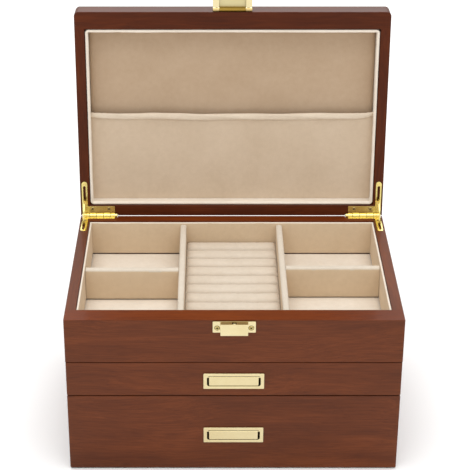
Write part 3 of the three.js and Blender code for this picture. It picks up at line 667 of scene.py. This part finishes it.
x0, x1, y0, y1, z0, z1 = mmbox("lid_lining_lip", LIDM)
lip = [(0.05, z1), (0.05, 2.6), (0.12, 1.75), (0.5, 1.05), (1.1, .74), (1.75, .72), (2.4, 1.0), (2.95, 1.65), (3.1, 2.5), (2.85, 3.4), (2.35, 4.4), (2.02, 6.0), (2.0, 12.0), (2.0, z1)]
bm = bmesh.new()
rings = []
for p, z in lip:
    pts = rrect(x0 + p, x1 - p, y0 + p, y1 - p, 3.7 - p, 8, 70, 48)
    k = 1.0 if z < 5 else 0.0
    ring = []
    for i, (a, b) in enumerate(pts):
        s = 0.30 * wob(a * .055, b * .055, 1.) + 0.14 * wob(a * .2, b * .2, 4.)
        inward = min(1.0, p / 2.0) * k * s
        cx, cy = (x0 + x1) / 2, (y0 + y1) / 2
        na = -math.copysign(1, a - cx) if abs(abs(a - cx) - (x1 - x0) / 2 + p) < 4 else 0
        nb = -math.copysign(1, b - cy) if abs(abs(b - cy) - (y1 - y0) / 2 + p) < 4 else 0
        ring.append(bm.verts.new((a + na * inward, b + nb * inward, z + k * 0.10 * wob(a * .05, b * .05, 8.))))
    rings.append(ring)
for q in range(len(rings)):
    A, B = rings[q], rings[(q + 1) % len(rings)]
    for i in range(len(A)):
        j = (i + 1) % len(A)
        bm.faces.new((A[i], A[j], B[j], B[i]))
bmesh.ops.recalc_face_normals(bm, faces=bm.faces)
# the lip takes the lighter velvet: painted highlight
o = make("lid_lip_velvet", bm, V_LIT_EDGE, "lid", ("lid_lining_lip",), LIDM, smooth=70, weighted=False)

# elastic pocket: a sheet and its gathered hem
x0, x1, y0, y1, z0, z1 = mmbox("lid_pocket", LIDM)
S0, S1, SH = -y1, 105.0, 101.0
HALF = x1


def pocket_back(s):
    return 13.8 - (s - S0) * math.tan(rad(3.1))


def folds(x, s):
    k = max(0.0, (s - S0) / (SH - S0))
    end = max(0.0, 1 - (HALF - abs(x)) / 34)
    return k ** 1.5 * (0.55 * wob(x * .018, s * .006, 3.) + 0.5 * end * math.sin(x * .62 + 5.5 * (1 - k)) * wob(x * .03, 2., 6.) * 2) \
        + 0.12 * wob(x * .06, s * .05, 8.)


def sag(x):
    q = x / HALF
    return -0.8 * (1 - q * q) + 0.5 * wob(x * .016, 1., 2.) + 2.4 * math.exp(-(HALF - x) / 6) + 1.0 * math.exp(-(HALF + x) / 12)


xs, ss = stations(x0, x1, 2.6), stations(S0, SH, 2.6)
bm = bmesh.new()
layers = []
for off in (0.0, -1.1):
    g = [[bm.verts.new((x, -(s + sag(x) * max(0.0, (s - S0) / (SH - S0)) ** 2), pocket_back(s) + off + folds(x, s))) for s in ss] for x in xs]
    layers.append(g)
A, B = layers
for i in range(len(xs) - 1):
    for j in range(len(ss) - 1):
        bm.faces.new((A[i][j], A[i + 1][j], A[i + 1][j + 1], A[i][j + 1]))
        bm.faces.new((B[i][j], B[i][j + 1], B[i + 1][j + 1], B[i + 1][j]))
for j in range(len(ss) - 1):
    for i in (0, len(xs) - 1):
        bm.faces.new((A[i][j], A[i][j + 1], B[i][j + 1], B[i][j]))
for i in range(len(xs) - 1):
    for j in (0, len(ss) - 1):
        bm.faces.new((A[i][j], A[i + 1][j], B[i + 1][j], B[i][j]))
bmesh.ops.recalc_face_normals(bm, faces=bm.faces)
pocket = make("lid_pocket_sheet", bm, V_POCKET, "lid", ("lid_pocket",), LIDM, smooth=70, weighted=False)

NH = 20
bm = bmesh.new()
rings = []
for x in stations(x0, x1, 1.3):
    e = HALF - abs(x)
    end = math.exp(-e / 13)
    wide = 3.1 * (1 - 0.34 * end) + 0.30 * wob(x * .05, 3., 1.)
    thick = 1.75 * (1 - 0.25 * end) + 0.22 * wob(x * .09, 5., 1.)
    crease = (0.55 * math.sin(x * 1.05) + 0.35 * math.sin(x * 1.9 + 1)) * math.exp(-max(0.0, e - 2) / 12)
    sc, zc = 102.2 + sag(x), pocket_back(102.2) - 1.2 + folds(x, SH) * .8
    ring = []
    for k in range(NH):
        a = 2 * math.pi * k / NH
        r = 1 + 0.10 * math.sin(3 * a + x * .08) + 0.16 * crease
        s = sc + wide * r * math.copysign(abs(math.cos(a)) ** .85, math.cos(a))
        z = zc + thick * r * math.copysign(abs(math.sin(a)) ** .85, math.sin(a)) + 0.25 * crease
        ring.append(bm.verts.new((x, -s, z)))
    rings.append(ring)
for a, b in zip(rings, rings[1:]):
    for i in range(NH):
        j = (i + 1) % NH
        bm.faces.new((a[i], a[j], b[j], b[i]))
bm.faces.new(rings[0])
bm.faces.new(rings[-1])
bmesh.ops.recalc_face_normals(bm, faces=bm.faces)
hem = make("lid_pocket_hem", bm, V_HEM, "lid", (), LIDM, smooth=70, weighted=False)

# ------------------------------------------------------------------ screws
def screw(r=2.1, h=0.75, n=28, sink=0.4):
    """Pan head with a cross recess, standing along +Z from z=0."""
    ring = [(r * .55, h), (r * .8, h * .93), (r * .95, h * .7), (r, h * .35), (r, -sink)]
    bm = bmesh.new()
    rows = [[bm.verts.new((q * math.cos(2 * math.pi * i / n), q * math.sin(2 * math.pi * i / n), z)) for i in range(n)] for q, z in ring]
    bm.faces.new(rows[0])
    bm.faces.new(list(reversed(rows[-1])))
    for a, b in zip(rows, rows[1:]):
        for i in range(n):
            j = (i + 1) % n
            bm.faces.new((a[i], b[i], b[j], a[j]))
    bmesh.ops.recalc_face_normals(bm, faces=bm.faces)
    w, l = r * .17, r * .64
    cross = bm_prism([(w, w), (l, w * .8), (l, -w * .8), (w, -w), (w * .8, -l), (-w * .8, -l), (-w, -w), (-l, -w * .8), (-l, w * .8), (-w, w), (-w * .8, l), (w * .8, l)],
                     h - .65 * min(1, r / 2), h + 1, "z")
    bm = boole(bm, cross)
    bm.normal_update()
    # faces inside the cross recess take the near-black brass: painted shade
    for f in bm.faces:
        c = f.calc_center_median()
        if math.hypot(c.x, c.y) < l * .98 and -sink + .05 < c.z < h - .08:
            f.material_index = 1
    return bm


def face_to(p, d, turn=0.0):
    """Puts +Z along d at point p."""
    return Matrix.Translation(p) @ Vector(d).to_track_quat('Z', 'Y').to_matrix().to_4x4() @ Matrix.Rotation(turn, 4, 'Z')


# ------------------------------------------------------------------ hinges
K0, K1 = 113.5, 148.4


def hinge_leaf(owner, z0, z1, dims, slot, holes):
    m = bm_prism(leaf_outline(*dims), z0, z1, "z")
    m = cut(m, bm_prism(rrect(144.4, 146.8, -slot[1], -slot[0], 1.1, 4), z0 - 1, z1 + 1, "z"))
    for x, y, r in holes:
        m = cut(m, bm_cyl("z", x, y, r, z0 - 1, z1 + 1, 20))
    bevel(m, 0.22, 2, None, 40)
    step = (K1 - K0) / 5
    for i in range(5):
        if i % 2 != owner:
            continue
        a, b = K0 + i * step + .1, K0 + (i + 1) * step - .1
        m = fuse(m, bm_box(max(a, 116), min(b, dims[2]), -3.6, 0, z0, z1))
        m = fuse(m, bevel(bm_cyl("x", 0, 0, 2.5, a, b, 32), 0.3, 2, None, 50))
    return cut(m, bm_cyl("x", 0, 0, 1.27, K0 - 5, K1 + 5, 20))


lower = hinge_leaf(0, -2.0, -0.4, LOWER, (14.9, 30.2), [(145.3, -10.5, 1.35)])
upper = hinge_leaf(1, 0.4, 2.0, UPPER, (14.9, 31.2), [(121.9, -7.0, 1.5), (138.1, -7.0, 1.5)])
pin = bevel(bm_cyl("x", 0, 0, 1.2, K0 - .2, K1 + .2, 24), 0.35, 3, None, 50)
stay = bevel(bm_prism(sector(15.5, 18.5, -6, 99.1, 44), 144.95, 146.25, "x"), 0.2, 2, None, 40)
for side, s in (("right", 1), ("left", -1)):
    def sided(bm):
        return bm.copy() if s > 0 else moved(bm.copy(), MIRROR, True)
    make(f"hinge_lower_leaf_{side}", sided(lower), M_BRASS_H, "cabinet", (f"hinge_leaf_lower_{side}",), AXM)
    make(f"hinge_upper_leaf_{side}", sided(upper), M_BRASS_H, "lid", (f"hinge_leaf_upper_{side}",), LIDM)
    make(f"hinge_pin_{side}_rod", sided(pin), M_BRASS_H, "cabinet", (f"hinge_pin_{side}",), AXM)
    make(f"lid_stay_{side}_strap", sided(stay), M_BRASS_H, f"stay_{side}", (f"lid_stay_{side}",), AXM)
    scr = join(*[moved(screw(1.85, 0.28, 24), face_to((s * x, y, .42), (0, 0, -1), .4 + x)) for x, y in ((121.9, -7.0), (138.1, -7.0))])
    make(f"hinge_screws_lid_{side}", scr, [M_SCREW, M_PAINTED_SHADE_RECESS], "lid", (), LIDM)
    scr = join(*[moved(screw(1.75, 0.28, 24), face_to((s * x, y, -.42), (0, 0, 1), .3 + y)) for x, y in ((145.3, -10.5),)])
    make(f"hinge_screws_cabinet_{side}", scr, [M_SCREW, M_PAINTED_SHADE_RECESS], "cabinet", (), AXM)
for b in (lower, upper, pin, stay):
    b.free()

# ------------------------------------------------------------------ clasp keeper
k = mmbox("latch_keeper")
YB = k[3]
ear = bevel(bm_prism(rrect(k[0], k[1], 145.7, k[5], .7, 3), YB - 1.0, YB, "y"), 0.22, 2, None, 50)
hood = bevel(bm_box(-12.2, 12.2, k[2], YB - .05, k[4], 156.6), 0.25, 2, lambda e: all(v.co.z > 156.5 for v in e.verts) or all(v.co.y < k[2] + .01 for v in e.verts) and abs(e.verts[0].co.z - e.verts[1].co.z) > 3)
bevel(hood, 0.85, 5, lambda e: all(v.co.y < k[2] + .3 and v.co.z < k[4] + .01 for v in e.verts) and abs(e.verts[0].co.x - e.verts[1].co.x) > 3)
kp = fuse(ear, hood)
kp = cut(kp, bm_box(-11.3, 11.3, k[2] + .9, YB + 1, k[4] + .9, 155.7))
kp = cut(kp, bm_prism(rrect(-1.9, 1.9, k[2] + .8, k[2] + 4.4, .6, 4), 155.0, 158.0, "z"))
for x in (-15, 15):
    kp = cut(kp, bm_cyl("y", x, 150.4, 2.5, YB - 2, YB - .45, 32))
# counterbore faces round the screws take the near-black brass (painted shade); the top face takes the darker brass
# (painted dark reflection)
make("latch_keeper_box", kp, [M_BRASS, M_PAINTED_SHADE_RECESS, M_PAINTED_DARK_BRASS], "cabinet", ("latch_keeper",),
     face_mat=lambda c, n: 1 if math.hypot(abs(c.x) - 15, c.z - 150.4) < 2.55 and c.y > YB - .98 else (2 if n.z > .7 and c.z > 156.3 else 0))
nb = mmbox("latch_catch_nub")
nub = bm_prism([(nb[2], 148.5), (nb[3], 148.5), (nb[3], 151.5), (nb[2] + 1.7, 151.5), (nb[2] + 1.7, 155.8), (nb[2] + .8, 156.4), (nb[2], 155.4)], -1.35, 1.35, "x")
make("latch_catch_hook", bevel(nub, 0.35, 3, None, 25), M_BRASS, "cabinet", ("latch_catch_nub",))
for side, x in (("left", -15), ("right", 15)):
    make(f"keeper_screw_{side}_head", moved(screw(2.15, 0.5, 28, .6), face_to((x, YB - 1.0, 150.4), (0, -1, 0), .5 if x > 0 else .15)),
         [M_SCREW, M_PAINTED_SHADE_RECESS], "cabinet", (f"keeper_screw_{side}",))

# ------------------------------------------------------------------ pulls
for d, body, zp in (("upper_drawer", "upper_pull", 95.3), ("lower_drawer", "lower_pull", 37.8)):
    b = mmbox(d + "_pull_frame")
    yf, yb = b[2], b[3]
    fl = bevel(bm_prism(rrect(b[0], b[1], b[4], b[5], .5, 3), yf, yf + 1.0, "y"), 0.3, 3, None, 50)
    cup = bm_prism(rrect(-24.7, 24.7, zp - 5.8, zp + 5.8, 2.9, 6), yf + .4, yb, "y")
    fl = fuse(fl, cup)
    fl = cut(fl, bm_prism(rrect(-24, 24, zp - 5.1, zp + 5.1, 2.2, 6), yf - 1, yb - .7, "y"))
    bevel(fl, 0.28, 2, lambda e: e.is_convex and all(abs(v.co.y - yf) < .01 and abs(v.co.x) < 24.2 and abs(v.co.z - zp) < 5.2 for v in e.verts), 40)
    # the cup's inner faces take the near-black brass: painted shade
    make(d + "_pull_bezel", fl, [M_BRASS, M_PAINTED_SHADE_RECESS], d, (d + "_pull_frame",),
         face_mat=lambda c, n, y=yf, z=zp: 1 if c.y > y + .55 and abs(c.x) < 24.1 and abs(c.z - z) < 5.2 and n.y < .5 else 0)
    make(d + "_pull_rod", bevel(bm_cyl("x", -103.6, zp + 3.3, .65, -24.5, 24.5, 20), .15, 2, None, 50), M_BRASS, d, (d + "_pull_pin",))
    t = mmbox(d + "_pull_tab")
    plate = bevel(bm_prism(rrect(t[0], t[1], zp - 4.75, zp + 3.3, .9, 4), -105.08, -103.9, "y"), 0.35, 3, None, 50)
    tab = fuse(plate, bevel(bm_cyl("x", -103.6, zp + 3.3, 1.5, t[0], t[1], 32), .25, 2, None, 50))
    tab = cut(tab, bm_cyl("x", -103.6, zp + 3.3, .75, -40, 40, 20))
    make(d + "_pull_plate", tab, M_BRASS, body, (d + "_pull_tab",))

# ------------------------------------------------------------------ hasp, in the lid's frame
hp = mmbox("hasp_plate", LIDM)
YA, ZA = (LIDM.inverted() @ HAX).y / MM, (LIDM.inverted() @ HAX).z / MM
LF = lt[2]
pl = bevel(bm_prism(rrect(-18.6, 18.6, ZA - .2, 14, .8, 3), LF - 1.3, LF - .3, "y"), .22, 2, None, 50)
pl = cut(pl, bm_box(-12.75, 12.75, YA - 3, YA + 1.85, ZA - 3, ZA + 1.9))
for s in (-1, 1):
    a, b = sorted((s * 12.75, s * 18.6))
    pl = fuse(pl, bevel(bm_cyl("x", YA, ZA, 1.6, a, b, 28), .25, 2, None, 50))
pl = cut(pl, bm_cyl("x", YA, ZA, .78, -30, 30, 20))
# the knuckle barrels take the darker brass: painted shade
make("hasp_mount_plate", pl, [M_BRASS, M_PAINTED_DARK_BRASS], "lid", ("hasp_plate",), LIDM,
     face_mat=lambda c, n: 1 if math.hypot(c.y - YA, c.z - ZA) < 1.75 and abs(c.x) > 12.7 else 0)
make("hasp_rod", bevel(bm_cyl("x", YA, ZA, .7, -18.6, 18.6, 20), .2, 2, None, 50), M_BRASS, "lid", ("hasp_pin",), LIDM)
make("hasp_screws", join(*[moved(screw(2.0, .45), face_to((x, LF - 1.3, 9.4), (0, -1, 0), .3 + x)) for x in (-15, 15)]), [M_SCREW, M_PAINTED_SHADE_RECESS], "lid", (), LIDM)
f = bevel(bm_prism(rrect(-18.6, 18.6, -17.2, -2.1, 1.0, 4), .7, 1.6, "z"), .2, 2, None, 50)
f = fuse(f, bm_box(-12.6, 12.6, -2.6, 0, .7, 1.6))
f = fuse(f, bevel(bm_box(-13.6, 13.6, -17.2, -2.1, .75, 6.5), .6, 4, lambda e: all(v.co.z > 6.49 for v in e.verts) or abs(e.verts[0].co.z - e.verts[1].co.z) > 3))
f = fuse(f, bevel(bm_cyl("x", 0, 0, 1.6, -12.6, 12.6, 28), .25, 2, None, 50))
f = cut(f, bm_box(-12.8, 12.8, -16.1, -2.9, -3, 5.6))
f = cut(f, bm_cyl("x", 0, 0, .78, -30, 30, 20))
# in the hollow the back face takes the pale brass (painted highlight); the walls and the centre knuckle take the dark
# olive brass (painted shade)
make("hasp_flap_cover", f, [M_BRASS, M_PAINTED_HIGHLIGHT_BRASS, M_PAINTED_SHADE_OLIVE], "hasp", ("hasp_flap",), FLAPM,
     face_mat=lambda c, n: 2 if abs(c.x) < 12.65 and c.y > -2.1 and c.z < 1.75 else (0 if not (abs(c.x) < 12.85 and -16.2 < c.y < -2.85 and .75 < c.z < 5.65) else (1 if abs(n.z) > .7 else 2)))

# ------------------------------------------------------------------ floor, light, camera
bm = bmesh.new()
N = 24
grid = [[bm.verts.new((-9 + 18 * i / N, -9 + 18 * j / N, 0.0)) for j in range(N + 1)] for i in range(N + 1)]
for i in range(N):
    for j in range(N):
        bm.faces.new((grid[i][j], grid[i + 1][j], grid[i + 1][j + 1], grid[i][j + 1]))
me = bpy.data.meshes.new("studio_floor")
bm.to_mesh(me)
bm.free()
floor = bpy.data.objects.new("studio_floor", me)
scene.collection.objects.link(floor)
fm = Net("floor_pale")
fn = fm.noise(fm.mapped((3, 3, 3)), 1.0, 2.0)
fm.link(fm.ramp(fn, [(0.3, (0.93, 0.93, 0.93)), (0.7, (0.955, 0.955, 0.955))]), fm.b.inputs["Base Color"])
fm.set(Roughness=0.9, Specular_IOR_Level=0.1)
me.materials.append(fm.m)

world = bpy.data.worlds.new("studio")
world.use_nodes = True
world.node_tree.nodes["Background"].inputs[0].default_value = (1.0, 0.99, 0.975, 1)
world.node_tree.nodes["Background"].inputs[1].default_value = 0.62
scene.world = world


def area(name, loc, at, size, power, color=(1, 1, 1), size_y=None):
    l = bpy.data.lights.new(name, 'AREA')
    l.shape, l.size, l.size_y, l.energy, l.color = 'RECTANGLE', size, size_y or size, power, color
    o = bpy.data.objects.new(name, l)
    o.location = loc
    o.rotation_euler = (Vector(at) - Vector(loc)).to_track_quat('-Z', 'Y').to_euler()
    scene.collection.objects.link(o)


area("key_above", (0.0, -0.35, 2.6), (0, 0, 0.1), 2.6, 52)
area("fill_front", (0.0, -3.2, 1.5), (0, 0, 0.15), 3.0, 18)
area("panel_back", (0.0, 3.0, 1.75), (0, 0, 0.35), 3.4, 44, size_y=1.7)

cam = bpy.data.cameras.new("photo_camera")
cam.sensor_width, cam.lens = 36.0, 36.0 * 1539.01 / 470
cam.shift_x = (235 - 210.82) / 470
cam.clip_start, cam.clip_end = 0.05, 60
co = bpy.data.objects.new("photo_camera", cam)
co.location = (-0.02056, -1.2740, 0.8318)
co.rotation_euler = (rad(90 - 26.7832), 0, 0)
scene.collection.objects.link(co)
scene.camera = co
scene.view_settings.view_transform = 'Standard'
